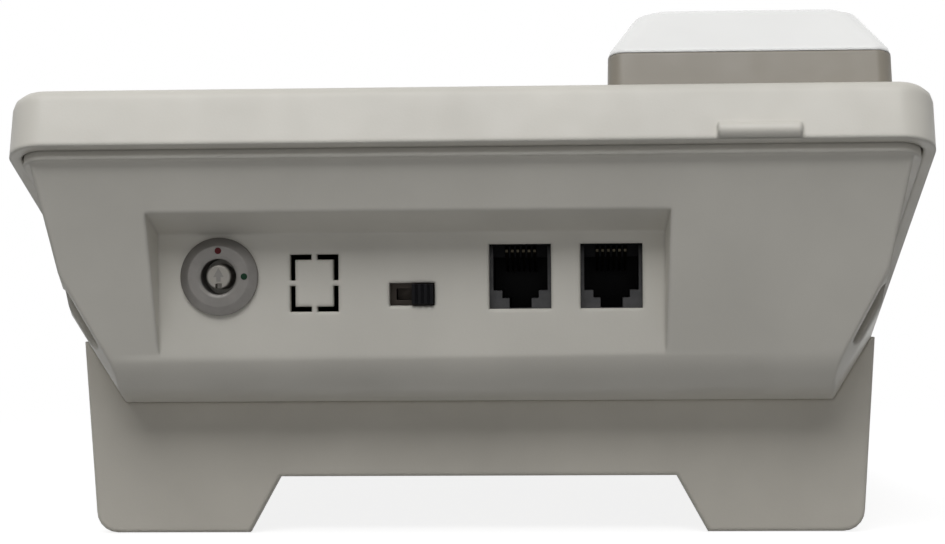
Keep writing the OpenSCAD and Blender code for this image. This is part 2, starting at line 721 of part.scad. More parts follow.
module stand() {
    wide = stand_x0 + stand_slope * stand_top;
    plate_low = stand_wall / cos(bottom_slope);
    void_x = stand_x0 - stand_wall;
    color("silver") difference() {
        intersection() {
            translate([0, stand_y, 0]) rotate([90, 0, 0]) linear_extrude(stand_l) polygon(concat(
                [[-cutout_x1, cutout_z], [cutout_x1, cutout_z], [cutout_x0, 0]], leg_arc(1),
                [[wide, stand_top], [-wide, stand_top]], reversed(leg_arc(-1)), [[-cutout_x0, 0]]));
            side_prism([[stand_y, 0], [stand_y, stand_top], [stand_front, stand_top],
                [stand_front, bottom_z(stand_front) - stand_front_h], [stand_y - sole_l, 0]], 2 * shell_w);
            union() {
                deck() translate([0, 0, -far / 2 - low_d]) cube([2 * far, 2 * far, far], center = true);
                box(0.5 - low_x, low_x - 0.5, -far, far, 0, far);
            }
        }
        base_form(0, stand_top);
        intersection() {
            translate([0, stand_y, 0]) rotate([90, 0, 0]) linear_extrude(stand_l) polygon([
                [-void_x + stand_slope, -1], [void_x - stand_slope, -1],
                [void_x + stand_slope * stand_ref_z, stand_ref_z], [-void_x - stand_slope * stand_ref_z, stand_ref_z]]);
            side_prism([[stand_y - stand_wall, -1], [stand_y - stand_wall, bottom_z(stand_y - stand_wall) - plate_low],
                [stand_front + stand_wall, bottom_z(stand_front + stand_wall) - plate_low],
                [stand_front + stand_wall, -1]], 2 * shell_w);
        }
    }
}

// Rubber feet, which cover the front pair of housing screws.
module front_feet() {
    y = deck_yz(post_v0, seat_w - tube_seat - head_h)[0];
    color("dimgray") difference() {
        for (s = [-1, 1]) translate([s * post_x, y, 0]) cylinder(d = foot_d, h = bottom_z(y) + 2);
        base_form(0, stand_top);
    }
}

module housing_screws() {
    color("silver") deck() at_posts() translate([0, 0, seat_w - tube_seat]) countersunk(screw_d, screw_l, head_d, head_h);
}

module line_board() {
    color("darkgreen") difference() {
        box(board_x0, board_x1, board_y0, board_y1, board_z - board_t, board_z);
        at_board_posts() cylinder(d = small_d + 0.3, h = far);
    }
}

module line_board_screws() {
    color("silver") at_board_posts() translate([0, 0, board_z]) mirror([0, 0, 1])
        countersunk(small_d, board_t + 6, small_d * 1.9, small_d * 0.6);
}

// Six-way line socket standing on the line board, open to the rear, latch side down.
module line_socket(x) {
    low = hole_z + 0.1;
    step = low + groove_h;
    floor_z = step + latch_h;
    y1 = socket_y;
    color("dimgray") difference() {
        box(x - socket_w / 2, x + socket_w / 2, y1 - socket_l, y1, board_z, board_z + socket_h);
        box(x - groove_w / 2, x + groove_w / 2, y1 - plug_d, y1 + 1, low, floor_z);
        box(x - latch_w / 2, x + latch_w / 2, y1 - plug_d, y1 + 1, step, floor_z + 0.1);
        difference() {
            box(x - plug_w / 2, x + plug_w / 2, y1 - plug_d, y1 + 1, floor_z, floor_z + plug_h);
            difference() {
                box(x - plug_w, x + plug_w, y1 - 6, y1 - 3, floor_z + plug_h - 2.2, floor_z + plug_h + 1);
                for (i = [-2.5:2.5]) box(x + i * contact_pitch - 0.3, x + i * contact_pitch + 0.3, y1 - 7, y1,
                    floor_z, floor_z + plug_h);
            }
        }
    }
}

module line_socket_out() {
    line_socket(out_x);
}

module line_socket_in() {
    line_socket(in_x);
}

// Bent spring wires: each rises from the socket's rear end and passes through its comb.
module socket_contacts() {
    y0 = socket_y - plug_d;
    top = hole_z + 0.1 + groove_h + latch_h + plug_h;
    t = contact_t;
    color("gold") for (x = [out_x, in_x], i = [-2.5:2.5]) translate([x + i * contact_pitch, 0, 0])
        side_prism([[y0, top - 4.4], [y0, top - 4.4 - t], [y0 + 3.2, top - 4.2 - t], [y0 + 9, top - 0.8 - t],
            [y0 + 9, top - 0.8], [y0 + 3.2, top - 4.2]], contact_t);
}

// Body of the slide switch behind its window, slotted for the knob's stem.
module mode_switch() {
    y1 = socket_y;
    slot = stem_w + knob_travel + 2 * knob_gap;
    color("silver") difference() {
        box(switch_x - switch_body_w / 2, switch_x + switch_body_w / 2, y1 - switch_body_d, y1,
            board_z, board_z + switch_body_h);
        box(switch_x - slot / 2, switch_x + slot / 2, y1 - switch_body_d + 1, y1 + 1,
            window_z - stem_w / 2 - knob_gap, window_z + stem_w / 2 + knob_gap);
    }
}

module mode_knob() {
    y0 = socket_y + 0.2;
    color("black") difference() {
        union() {
            box(knob_x - knob_w / 2, knob_x + knob_w / 2, y0, panel_y + knob_out,
                window_z - window_h / 2 + knob_gap, window_z + window_h / 2 - knob_gap);
            box(knob_x - stem_w / 2, knob_x + stem_w / 2, y0 - 2.6, y0 + 0.1,
                window_z - stem_w / 2, window_z + stem_w / 2);
        }
        for (i = [-1, 0, 1]) translate([knob_x + i * 1.1, panel_y + knob_out, window_z])
            rotate([0, 0, 45]) cube([0.5, 0.5, window_h], center = true);
    }
}

// Pieces of the lock are turned about its axis: z of the profile runs out to the rear.
module at_lock() {
    translate([lock_x, panel_y, lock_z]) rotate([-90, 0, 0]) children();
}

module lock_barrel() {
    color("silver") at_lock() rotate_extrude() polygon([
        [keyway_d / 2, lock_flange_h - 0.3], [keyway_d / 2 + 0.6, lock_flange_h], [lock_flange_d / 2 - 1.6, lock_flange_h],
        [lock_flange_d / 2, 0.7], [lock_flange_d / 2, 0], [lock_barrel_d / 2, 0], [lock_barrel_d / 2, -lock_barrel_l],
        [lock_drum_d / 2 + turn_gap, -lock_barrel_l], [lock_drum_d / 2 + turn_gap, lock_flange_h - keyway_l - turn_gap],
        [keyway_d / 2, lock_flange_h - keyway_l - turn_gap]]);
}

// Turning plug: a pin in the middle of the key way, a drum behind it and a flat tail.
module lock_plug() {
    drum_top = lock_flange_h - keyway_l - 2 * turn_gap;
    color("gray") at_lock() difference() {
        union() {
            rotate_extrude() polygon([[0, lock_flange_h - 0.4], [lock_pin_d / 2 - 0.3, lock_flange_h - 0.4],
                [lock_pin_d / 2, lock_flange_h - 0.7], [lock_pin_d / 2, drum_top], [lock_drum_d / 2, drum_top],
                [lock_drum_d / 2, -lock_barrel_l + turn_gap], [0, -lock_barrel_l + turn_gap]]);
            translate([-2, -0.8, -lock_barrel_l - 2]) cube([4, 1.6, 2.2]);
        }
        translate([-0.55, lock_pin_d / 2 - 1, lock_flange_h - 2.4]) cube([1.1, 2, 3]);
    }
}

module lock_nut() {
    color("silver") at_lock() translate([0, 0, -panel_t - nut_t]) difference() {
        cylinder(d = nut_af / cos(30), h = nut_t, $fn = 6);
        translate([0, 0, -1]) cylinder(d = lock_barrel_d + 2 * screw_gap, h = nut_t + 2);
    }
}

// Contact wafer clipped to the barrel's inner end, with two solder tags.
module lock_wafer() {
    z = -lock_barrel_l;
    color("saddlebrown") at_lock() difference() {
        union() {
            translate([0, 0, z - 3.6]) cylinder(d = lock_barrel_d, h = 3.6);
            for (s = [-1, 1]) translate([s * 3 - 0.9, -0.3, z - 7]) cube([1.8, 0.6, 4]);
        }
        translate([0, 0, z - 2.4]) cylinder(d = 5.2, h = 3);
    }
}

module keypad_board() {
    color("darkgreen") deck() difference() {
        box(pad_x0, pad_x1, pad_v0, pad_v1, pad_top - board_t, pad_top);
        at_pad_screws() translate([0, 0, -far / 2]) cylinder(d = small_d + 0.3, h = far);
        translate([post_x, post_v1, -far / 2]) cylinder(d = post_d + 1.5, h = far);
    }
}

module keypad_board_screws() {
    color("silver") deck() at_pad_screws() translate([0, 0, pad_top - board_t])
        countersunk(small_d, board_t + 3, small_d * 1.9, small_d * 0.6);
}

// Rubber mat with one dome under every key.
module keypad_mat() {
    edge = key_w / 2 + 1.5;
    color("lightgray") deck() {
        box(pad_x - key_pitch_x - edge, pad_x + key_pitch_x + edge, pad_v - 3 * key_pitch_v - key_l / 2,
            soft_v + soft_l / 2, pad_top, pad_top + mat_t);
        at_keys() {
            translate([0, 0, pad_top]) cylinder(d1 = 8, d2 = 5, h = mat_t + dome_h);
            translate([0, 0, pad_top]) cylinder(d1 = 6, d2 = 4.5, h = mat_t + dome_h);
        }
    }
}

module display_module() {
    color("darkslategray") deck() translate([pad_x, lens_v, pad_top])
        rounded_plate(lens_w - 2, lens_l - 2, module_t, 1);
}

module display_lens() {
    color("slategray") deck() translate([pad_x, lens_v, shell_h - lens_t]) rounded_plate(lens_w, lens_l, lens_t, 2 - fit_gap);
}

module ringer_speaker() {
    r = speaker_d / 2;
    color("dimgray") deck() translate([hs_x, hs_v, bay_floor - bay_wall]) rotate_extrude() polygon([
        [r - 3, 0], [r, 0], [r, -1.6], [r - 3, -1.8], [r * 0.55, -speaker_h * 0.55], [r * 0.55, -speaker_h],
        [0, -speaker_h], [0, -speaker_h * 0.35], [r * 0.3, -speaker_h * 0.35]]);
}

module hook_plunger() {
    color("dimgray") deck() translate([hook_x, hook_v, 0]) {
        translate([0, 0, hook_foot - 0.1]) linear_extrude(hook_top - hook_foot + 0.1) square(hook_s, center = true);
        translate([0, 0, hook_foot - hook_foot_t]) linear_extrude(hook_foot_t) square(hook_s + 2.6, center = true);
    }
}

module hook_switch() {
    color("black") deck() box(hook_x - 6, hook_x + 6, hook_v - 3, hook_v + 3,
        hook_switch_top - hook_switch_h, hook_switch_top);
}

// Four-way socket, its mouth at z = 0 looking up, latch side towards -y.
module cord_socket() {
    color("dimgray") difference() {
        translate([-cord_body_w / 2, -cord_body_h / 2, -cord_body_l]) cube([cord_body_w, cord_body_h, cord_body_l]);
        translate([-cord_plug_w / 2, -cord_plug_h / 2, -cord_plug_d]) cube([cord_plug_w, cord_plug_h, cord_plug_d + 1]);
        translate([-1.7, -cord_plug_h / 2 - 0.9, -cord_plug_d]) cube([3.4, 2, cord_plug_d + 1]);
        for (i = [-1.5:1.5]) translate([i * contact_pitch - 0.25, cord_plug_h / 2 - 0.1, -cord_plug_d])
            cube([0.5, 0.6, cord_plug_d - 1]);
    }
}

module base_cord_socket() {
    deck() translate([cord_face_x, cord_v, cord_w]) rotate([90, 0, -90]) cord_socket();
}

module handset_cord_socket() {
    deck() translate([hs_x, hs_v - hs_l / 2 + hs_wall, hs_cord_w]) rotate([90, 0, 0]) cord_socket();
}

// Outer form of the lower handset shell, its sides moved in by t.
module handset_form(t) {
    translate([hs_x, hs_v, grip_w + t]) rounded_plate(hs_w - 2 * t, hs_l - 2 * t, hs_part_w - grip_w, hs_r - t);
    for (s = [-1, 1]) intersection() {
        translate([hs_x, hs_v, block_low + t]) rounded_plate(hs_w - 2 * t, hs_l - 2 * t, hs_part_w - block_low - t, hs_r - t);
        translate([hs_x, hs_v + s * (hs_l / 2 - block_l / 2 + t), hs_part_w / 2]) cube([hs_w + 10, block_l, 40], center = true);
    }
    at_cups() translate([0, 0, cup_low + t]) rounded_plate(cup_w - 2 * t, cup_l - 2 * t, hs_part_w - cup_low - t, hs_r - 2);
}

module handset_lower_shell() {
    ear = hs_v + cup_off;
    color("silver") deck() difference() {
        union() {
            difference() {
                intersection() {
                    handset_form(0);
                    translate([hs_x, hs_v, hs_part_w - far / 2]) cube([2 * hs_w, 2 * hs_l, far], center = true);
                }
                handset_form(hs_wall);
            }
            translate([hs_x, ear, cup_low + hs_wall - 0.5]) difference() {
                cylinder(d = receiver_d + 4, h = 4.5);
                cylinder(d = receiver_d + 0.4, h = 5);
            }
            translate([hs_x, hs_v - cup_off, cup_low + hs_wall - 0.5]) difference() {
                cylinder(d = 13, h = 4.5);
                cylinder(d = 10.1, h = 5);
            }
            for (s = [-1, 1]) translate([hs_x, hs_v + s * hs_screw_v, grip_w + 0.5])
                cylinder(d = 8, h = hs_part_w - grip_w - 1);
        }
        translate([hs_x, ear, cup_low - 1]) {
            cylinder(d = 2.2, h = hs_wall + 2);
            for (a = [0:60:300]) rotate([0, 0, a]) translate([7, 0, 0]) cylinder(d = 2.2, h = hs_wall + 2);
        }
        translate([hs_x, hs_v - cup_off, cup_low - 1])
            for (i = [-1, 0, 1]) translate([i * 3, 0, 0]) cylinder(d = 1.6, h = hs_wall + 2);
        for (s = [-1, 1]) translate([hs_x, hs_v + s * hs_screw_v, grip_w - 1]) {
            cylinder(d = screw_d + 0.4, h = 10);
            cylinder(d = head_d + 0.6, h = 3.1);
        }
        translate([hs_x, hs_v - hs_l / 2, hs_cord_w]) cube([cord_plug_w + 1, 10, cord_plug_h + 0.6], center = true);
    }
}

// Crown of the handset between two levels, its sides moved in by t.
module crown(t, drop) {
    h = hs_crown_h;
    hull() for (s = [[0, 0], [0.3, 1.2], [hs_crown_in, h - 1.2], [hs_crown_in + 1, h - 0.35], [hs_crown_in + 2.4, h]])
        translate([hs_x, hs_v, hs_part_w]) linear_extrude(max(s[1] - drop, 0.02))
            rounded_rect(hs_w - 2 * (s[0] + t), hs_l - 2 * (s[0] + t), max(hs_r - t, 1) + s[0] * 0.4);
}

module handset_upper_shell() {
    color("white") deck() {
        difference() {
            crown(0, 0);
            translate([0, 0, -0.5]) crown(hs_wall, hs_wall - 0.5);
        }
        for (s = [-1, 1]) translate([hs_x, hs_v + s * hs_screw_v, hs_part_w - 0.4]) difference() {
            cylinder(d = 6.5, h = hs_crown_h - hs_wall + 0.9);
            translate([0, 0, -1]) cylinder(d = screw_d + 2 * screw_gap, h = 6);
        }
    }
}

module receiver_capsule() {
    color("dimgray") deck() translate([hs_x, hs_v + cup_off, cup_low + hs_wall]) {
        cylinder(d = receiver_d, h = receiver_h);
        translate([0, 0, receiver_h - 0.1]) cylinder(d = magnet_d, h = magnet_h);
    }
}

module microphone_capsule() {
    color("silver") deck() translate([hs_x, hs_v - cup_off, cup_low + hs_wall]) cylinder(d = 9.7, h = 6.5);
}

module handset_screws() {
    color("silver") deck() for (s = [-1, 1]) translate([hs_x, hs_v + s * hs_screw_v, grip_w + 2.1])
        countersunk(screw_d, 6.4, head_d, head_h);
}

// Push key: a cap through the deck and a flange that keeps it in.
module push_key(l) {
    translate([0, 0, flange_top - flange_t])
        rounded_plate(key_w + 2 * key_flange, l + 2 * key_flange, flange_t, key_r + key_flange / 2);
    translate([0, 0, flange_top - 0.1]) rounded_plate(key_w, l, shell_h + key_out - flange_top + 0.1, key_r);
}

module dial_key(r, c) {
    color("lightgray") deck() translate([pad_x + (c - 1) * key_pitch_x, pad_v - r * key_pitch_v, 0]) push_key(key_l);
}

module soft_key(r, c) {
    color("gray") deck() translate([pad_x + (c - 1) * key_pitch_x, soft_v - r * key_pitch_v, 0]) push_key(soft_l);
}

base_shell();
top_shell();
stand();
front_feet();
housing_screws();
line_board();
line_board_screws();
line_socket_out();
line_socket_in();
socket_contacts();
mode_switch();
mode_knob();
lock_barrel();
lock_plug();
lock_nut();
lock_wafer();
keypad_board();
keypad_board_screws();
keypad_mat();
display_module();
display_lens();
ringer_speaker();
hook_plunger();
hook_switch();
base_cord_socket();
handset_lower_shell();
handset_upper_shell();
handset_cord_socket();
receiver_capsule();
microphone_capsule();
handset_screws();
dial_key(0, 0);  // key_1
dial_key(0, 1);  // key_2
dial_key(0, 2);  // key_3
dial_key(1, 0);  // key_4
dial_key(1, 1);  // key_5
dial_key(1, 2);  // key_6
dial_key(2, 0);  // key_7
dial_key(2, 1);  // key_8
dial_key(2, 2);  // key_9
dial_key(3, 0);  // key_star
dial_key(3, 1);  // key_0
dial_key(3, 2);  // key_hash
soft_key(0, 0);  // key_flash
soft_key(0, 1);  // key_redial
soft_key(0, 2);  // key_mute
soft_key(1, 0);  // key_hold
soft_key(1, 1);  // key_quieter
soft_key(1, 2);  // key_louder
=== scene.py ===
# %% [markdown]
# A corded desk telephone on its wedge stand, seen from behind. The construction model gives every piece its
# true size and place. Here each piece that shows gets the soft edges, the prints and the finishes that make
# it look like moulded plastic, metal and rubber.

# %% Load the frame
import json
import math

import bpy
from mathutils import Matrix, Vector


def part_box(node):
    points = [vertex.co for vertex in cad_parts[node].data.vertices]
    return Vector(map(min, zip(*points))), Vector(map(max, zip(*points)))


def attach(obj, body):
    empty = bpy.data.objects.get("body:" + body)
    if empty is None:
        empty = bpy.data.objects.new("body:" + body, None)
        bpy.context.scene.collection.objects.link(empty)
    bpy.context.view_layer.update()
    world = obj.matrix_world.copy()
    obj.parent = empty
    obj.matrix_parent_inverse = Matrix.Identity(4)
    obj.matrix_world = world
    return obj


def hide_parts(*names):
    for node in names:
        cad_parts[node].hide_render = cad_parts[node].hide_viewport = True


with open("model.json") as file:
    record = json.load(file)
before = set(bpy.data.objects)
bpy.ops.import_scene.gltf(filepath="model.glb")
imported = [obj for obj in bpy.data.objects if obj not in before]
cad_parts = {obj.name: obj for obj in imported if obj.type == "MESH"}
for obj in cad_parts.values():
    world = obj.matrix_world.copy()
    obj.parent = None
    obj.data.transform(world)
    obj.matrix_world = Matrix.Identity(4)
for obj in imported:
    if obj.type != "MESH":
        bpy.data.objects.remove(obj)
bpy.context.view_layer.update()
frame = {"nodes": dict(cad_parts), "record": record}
nodes = frame["nodes"]
record = frame["record"]
body_of = {}
for body, members in record["behaviour"]["bodies"].items():
    for member in members:
        body_of[member] = body
slot_of = {}
for subpart in record["subparts"]:
    slot_of[subpart["node"]] = subpart["material_slot"]
MM = 0.001

# %% [markdown]
# The phone's deck leans by 20 degrees. Keys, display and handset are easiest to place in the deck's own
# frame: x across, y along the deck to the rear, z out of the deck. One matrix turns such a place into the
# world's, and its inverse turns a place in the world back into the deck's.

# %% The deck's own frame
TILT = math.radians(20)
DECK_PIVOT = (0, 1.2509 * MM, 40.1358 * MM)
DECK = Matrix.Translation(DECK_PIVOT) @ Matrix.Rotation(TILT, 4, "X")
DECK_BACK = DECK.inverted()
print("The deck leans by", round(math.degrees(TILT)), "degrees")

# %% [markdown]
# A mesh from a construction model is loose triangles with knife-sharp edges. Modelling each piece anew
# could lose its true sizes, so a copy of the node is taken instead. Its doubled corners are merged, and the
# triangles of each flat side are dissolved into one face, because a clean bevel needs broad faces beside
# the edge.

# %% A welded copy of a node
WELD = 0.01 * MM
FLAT = math.radians(0.4)


def only(piece):
    """Makes one piece the selected and active one."""
    bpy.ops.object.select_all(action="DESELECT")
    piece.select_set(True)
    bpy.context.view_layer.objects.active = piece


def copy_of(node, broad=True):
    """A welded copy of a node's mesh; broad joins the triangles of each flat side into one face."""
    piece = bpy.data.objects.new(node + "_look", nodes[node].data.copy())
    piece.data.materials.clear()
    bpy.context.scene.collection.objects.link(piece)
    only(piece)
    bpy.ops.object.mode_set(mode="EDIT")
    bpy.ops.mesh.customdata_custom_splitnormals_clear()
    bpy.ops.mesh.select_all(action="SELECT")
    bpy.ops.mesh.remove_doubles(threshold=WELD)
    if broad:
        bpy.ops.mesh.dissolve_limited(angle_limit=FLAT)
    bpy.ops.object.mode_set(mode="OBJECT")
    return piece


print("Corners closer than", round(WELD / MM, 3), "mm are merged")

# %% [markdown]
# A moulded piece has small radii at its edges, so that the plastic flows and lets go of the mould. A bevel
# makes them. Bevelling every edge at once is quick, but where a round is wider than the face beside it,
# faces fold over each other. So the edges are picked in code: sharp ones, where a rule asks for them, with
# room for the round.

# %% Picking edges with room for a round
ROOM_PER_WIDTH = 1.1
STRAIGHT_ON = -0.8


def pick_edges(piece, indices):
    """Selects exactly these edges of a piece and stays in edit mode."""
    only(piece)
    bpy.ops.object.mode_set(mode="EDIT")
    bpy.ops.mesh.select_mode(type="EDGE")
    bpy.ops.mesh.select_all(action="DESELECT")
    bpy.ops.object.mode_set(mode="OBJECT")
    for index in indices:
        piece.data.edges[index].select = True
    bpy.ops.object.mode_set(mode="EDIT")


def far_end(edge, corner):
    """The corner at the other end of an edge."""
    return edge.vertices[1] if corner == edge.vertices[0] else edge.vertices[0]


def has_room(edge, chosen, links, points, need):
    """True if the edges that meet this one and stay sharp leave enough room for its round."""
    for corner in edge.vertices:
        along = (points[far_end(edge, corner)].co - points[corner].co).normalized()
        for other in links[corner]:
            if other.index not in chosen:
                branch = points[far_end(other, corner)].co - points[corner].co
                runs_on = along.dot(branch.normalized()) < STRAIGHT_ON
                if not runs_on and along.cross(branch).length < need:
                    return False
    return True


print("A round needs", ROOM_PER_WIDTH, "times its width as room")

# %% [markdown]
# An edge that is refused stays sharp, and that can take the room of an edge next to it. The choice is
# therefore gone over again until no edge has to be refused, and only then is the bevel made.

# %% Rounding edges
def bevel(piece, width, segments=2, sharp=30, where=None):
    """Rounds edges sharper than an angle that have room; the rule where picks them by their middle."""
    pick_edges(piece, [])
    bpy.ops.mesh.edges_select_sharp(sharpness=math.radians(sharp))
    bpy.ops.object.mode_set(mode="OBJECT")
    points = piece.data.vertices
    edges = piece.data.edges
    links = [[] for point in points]
    for edge in edges:
        links[edge.vertices[0]].append(edge)
        links[edge.vertices[1]].append(edge)
    chosen = set()
    for edge in edges:
        middle = (points[edge.vertices[0]].co + points[edge.vertices[1]].co) / 2
        if edge.select and (where is None or where(middle)):
            chosen.add(edge.index)
    need = ROOM_PER_WIDTH * width * MM
    tight = True
    while tight:
        tight = [index for index in chosen if not has_room(edges[index], chosen, links, points, need)]
        chosen.difference_update(tight)
    pick_edges(piece, sorted(chosen))
    if chosen:
        bpy.ops.mesh.bevel(offset=width * MM, segments=segments, affect="EDGES", clamp_overlap=False)
    bpy.ops.object.mode_set(mode="OBJECT")
    return len(chosen)


print("Bevels are given in millimetres")

# %% [markdown]
# Smooth shading hides the facets of a round but can make a flat side look dented. The Weighted Normal
# modifier cures that, because the broad faces then decide how the light falls. A finished copy gets its
# material and takes the place of its node on the same body, so that it moves as the real piece does.

# %% Shading a piece and putting it in place
BROAD_WEIGHT = 90


def smooth(piece, angle=32):
    """Smooth shading across soft edges, flat across hard ones; broad faces keep their own normal."""
    only(piece)
    bpy.ops.object.shade_smooth_by_angle(angle=math.radians(angle))
    weighted = piece.modifiers.new("broad_faces", "WEIGHTED_NORMAL")
    weighted.keep_sharp = True
    weighted.weight = BROAD_WEIGHT
    bpy.ops.object.modifier_apply(modifier="broad_faces")


def settle(piece, body, look):
    """Gives a finished piece its material and the body it moves with."""
    piece.data.materials.clear()
    piece.data.materials.append(look)
    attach(piece, body)


def stand_for(piece, node, look):
    """A shaped copy takes the place of its construction node."""
    settle(piece, body_of[node], look)
    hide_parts(node)


# %% [markdown]
# Finishes are made from nodes only, so they need no picture and no unwrapping. They read Object
# coordinates, which are in metres and stay with the piece when it moves. These few helpers are what all the
# finishes share.

# %% Nodes that the finishes share
NOISE_LOW = 0.3
NOISE_HIGH = 0.7
EDGE_SAMPLES = 6


def start_material(name):
    """A new node material with its shader and object coordinates."""
    material = bpy.data.materials.new(name)
    material.use_nodes = True
    tree = material.node_tree
    shader = tree.nodes["Principled BSDF"]
    place = tree.nodes.new("ShaderNodeTexCoord")
    return material, tree, shader, place.outputs["Object"]


def noise(tree, place, scale, detail=2.0):
    """A noise texture's value output."""
    texture = tree.nodes.new("ShaderNodeTexNoise")
    texture.inputs["Scale"].default_value = scale
    texture.inputs["Detail"].default_value = detail
    tree.links.new(place, texture.inputs["Vector"])
    return texture.outputs["Fac"]


def ramp(tree, value, low, high):
    """Turns a noise value, which lies mostly about its middle, into a number between low and high."""
    spread = tree.nodes.new("ShaderNodeMapRange")
    spread.inputs["From Min"].default_value = NOISE_LOW
    spread.inputs["From Max"].default_value = NOISE_HIGH
    spread.inputs["To Min"].default_value = low
    spread.inputs["To Max"].default_value = high
    tree.links.new(value, spread.inputs["Value"])
    return spread.outputs["Result"]


def two_tone(tree, value, first, second):
    """Mixes two colours by a value."""
    mix = tree.nodes.new("ShaderNodeMix")
    mix.data_type = "RGBA"
    mix.inputs["A"].default_value = (*first, 1)
    mix.inputs["B"].default_value = (*second, 1)
    tree.links.new(value, mix.inputs["Factor"])
    return mix.outputs["Result"]


def grain(tree, shader, value, strength, height, edge=0.0):
    """Fine relief from a value, in metres of height, over edges that look rounded by a radius."""
    bump = tree.nodes.new("ShaderNodeBump")
    if edge:
        rounded = tree.nodes.new("ShaderNodeBevel")
        rounded.samples = EDGE_SAMPLES
        rounded.inputs["Radius"].default_value = edge
        tree.links.new(rounded.outputs["Normal"], bump.inputs["Normal"])
    bump.inputs["Strength"].default_value = strength
    bump.inputs["Distance"].default_value = height
    tree.links.new(value, bump.inputs["Height"])
    tree.links.new(bump.outputs["Normal"], shader.inputs["Normal"])


print("Noise between", NOISE_LOW, "and", NOISE_HIGH, "is spread over each finish")

# %% [markdown]
# A moulded plastic is one colour with a slow mottling of a few per cent, a roughness that changes from
# patch to patch where hands have polished it, and a fine grain from the eroded mould. A noise scale of 2500
# gives a grain of about half a millimetre. One function makes them all, so that they look like one family.

# %% Moulded plastic
MOTTLE_SCALE = 45
POLISH_SCALE = 140
POLISH = 0.06
PLASTIC_IOR = 1.5
COAT_ROUGHNESS = 0.08


def plastic(name, colour, rough, mottle=0.05, texture=2500, depth=0.04 * MM, strength=0.35, coat=0.0,
            edge=0.0, gleam=0.5):
    """Moulded plastic: mottled colour, patchy sheen and a fine grain."""
    material, tree, shader, place = start_material(name)
    slow = noise(tree, place, MOTTLE_SCALE, 3)
    dark = tuple(c * (1 - mottle) for c in colour)
    light = tuple(min(c * (1 + mottle), 1) for c in colour)
    tree.links.new(two_tone(tree, ramp(tree, slow, 0, 1), dark, light), shader.inputs["Base Color"])
    patch = noise(tree, place, POLISH_SCALE)
    tree.links.new(ramp(tree, patch, rough - POLISH, rough + POLISH), shader.inputs["Roughness"])
    shader.inputs["IOR"].default_value = PLASTIC_IOR
    shader.inputs["Specular IOR Level"].default_value = gleam
    shader.inputs["Coat Weight"].default_value = coat
    shader.inputs["Coat Roughness"].default_value = COAT_ROUGHNESS
    grain(tree, shader, noise(tree, place, texture), strength, depth, edge)
    return material


print("Plastic's mottling scale:", MOTTLE_SCALE)

# %% [markdown]
# The housing is a warm off-white, the stand a shade yellower. The handset has a glossy white crown under a
# clear coat; its tray gets a dark grey, which is painted shade, the housing's plastic darkened as it looks
# in shade. Sockets and the knob are black and hardly gleam; the feet's rubber is rough with a coarse grain.

# %% Plastics and rubbers
finish = {}
finish["housing_plastic"] = plastic("housing_plastic", (0.67, 0.648, 0.59), 0.46, edge=1.2 * MM)
finish["stand_plastic"] = plastic("stand_plastic", (0.62, 0.59, 0.525), 0.5, edge=0.9 * MM)
# Painted shade: the tray is the housing's plastic darkened to a dark grey, as it looks in shade.
finish["handset_grey"] = plastic("handset_grey", (0.25, 0.226, 0.185), 0.42, edge=0.6 * MM)
finish["handset_white"] = plastic("handset_white", (0.96, 0.96, 0.945), 0.2, mottle=0.02, texture=900,
                                  depth=0.02 * MM, strength=0.12, coat=0.5, edge=1.2 * MM)
finish["key_plastic"] = plastic("key_plastic", (0.70, 0.69, 0.66), 0.36, mottle=0.04)
finish["soft_key_plastic"] = plastic("soft_key_plastic", (0.27, 0.28, 0.30), 0.36, mottle=0.06)
finish["socket_plastic"] = plastic("socket_plastic", (0.011, 0.011, 0.012), 0.5, mottle=0.2, gleam=0.12)
finish["knob_plastic"] = plastic("knob_plastic", (0.006, 0.006, 0.007), 0.4, mottle=0.2, gleam=0.08)
finish["mat_rubber"] = plastic("mat_rubber", (0.5, 0.5, 0.5), 0.75, mottle=0.08)
finish["foot_rubber"] = plastic("foot_rubber", (0.055, 0.055, 0.055), 0.8, mottle=0.25, texture=1800,
                                depth=0.08 * MM, strength=0.5)
finish["wafer"] = plastic("wafer", (0.2, 0.09, 0.04), 0.6, mottle=0.25)
finish["display"] = plastic("display", (0.27, 0.31, 0.24), 0.35, texture=3000)
print("Plastics and rubbers:", len(finish))

# %% [markdown]
# Metal pieces differ in how they were finished. The lock is satin plated and has a dull film, so it is only
# partly metallic. Screws are bright from plating, with faint handling marks. The switch and the contacts
# are coloured nearly black, which is painted shade: the switch sits back in the panel's recess and the
# contacts deep in the sockets. A noise that varies the colour and the roughness shows wear better than one
# even mirror would.

# %% Metals
TARNISH_SCALE = 300
TARNISH = 0.88
HANDLING_SCALE = 900
HANDLING = 0.07
MARK_STRENGTH = 0.3


def metal(name, colour, rough, texture, depth, bare=1.0):
    """Plated metal: tinted reflection, uneven sheen, fine marks; bare is below 1 under a dull film."""
    material, tree, shader, place = start_material(name)
    slow = noise(tree, place, TARNISH_SCALE, 3)
    dark = tuple(c * TARNISH for c in colour)
    tree.links.new(two_tone(tree, ramp(tree, slow, 0, 1), dark, colour), shader.inputs["Base Color"])
    shader.inputs["Metallic"].default_value = bare
    patch = noise(tree, place, HANDLING_SCALE)
    tree.links.new(ramp(tree, patch, rough - HANDLING, rough + HANDLING), shader.inputs["Roughness"])
    grain(tree, shader, noise(tree, place, texture), MARK_STRENGTH, depth)
    return material


finish["lock_chrome"] = metal("lock_chrome", (0.20, 0.19, 0.178), 0.5, 5000, 0.02 * MM, bare=0.45)
# Painted shade: the switch's frame is coloured nearly black, as it looks set back in the recess.
finish["switch_metal"] = metal("switch_metal", (0.035, 0.03, 0.026), 0.5, 4000, 0.02 * MM)
finish["screw_steel"] = metal("screw_steel", (0.55, 0.55, 0.56), 0.32, 4000, 0.02 * MM)
